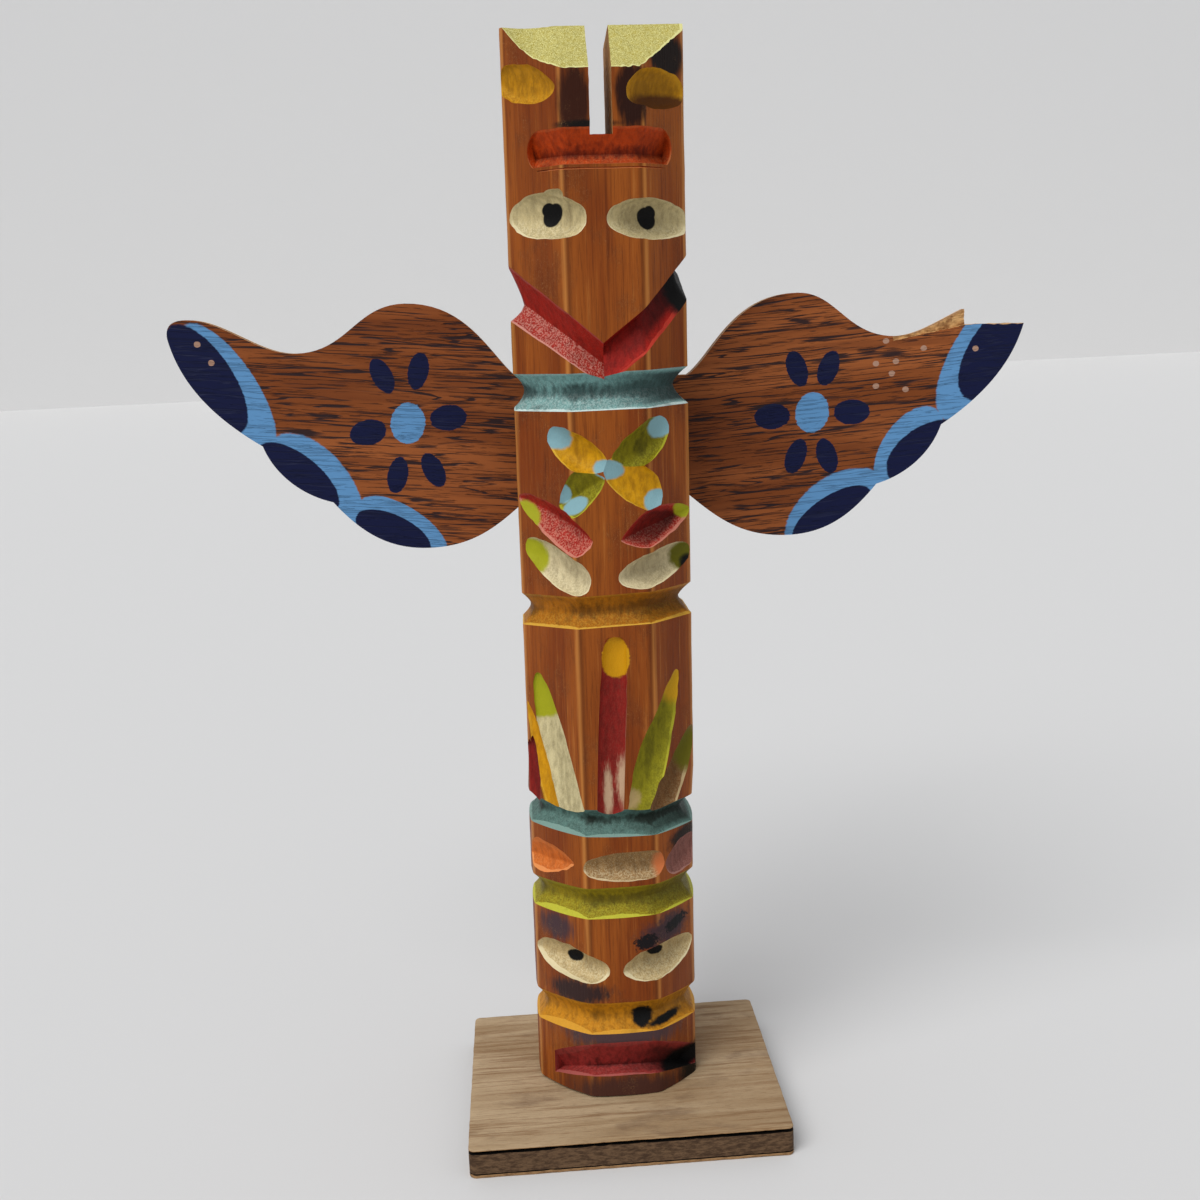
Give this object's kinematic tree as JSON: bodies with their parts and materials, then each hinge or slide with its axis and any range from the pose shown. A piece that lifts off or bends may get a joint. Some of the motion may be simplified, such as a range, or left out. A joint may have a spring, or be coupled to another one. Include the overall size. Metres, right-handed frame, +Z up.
{
  "type": "carved totem pole ornament",
  "caption": "Small carved and painted wooden totem pole with an octagonal stick, a winged plywood board let into its back, and a square plywood base.",
  "frame": {"origin": "middle of the base board's underside", "axes": "+Z up the pole, -Y out of the carved front, +X to the right as the front is seen"},
  "size_m": [0.2097, 0.067, 0.2575],
  "materials": {
    "carved_wood": "stained and thinly varnished softwood with cuts painted red, orange, yellow, lime, cream and light blue",
    "wing_board": "stained oak-faced plywood with navy and light blue brushwork",
    "base_board": "bare worn plywood"
  },
  "bodies": {
    "root": {"pole": "carved_wood", "wings": "wing_board", "base": "base_board"}
  },
  "joints": []
}
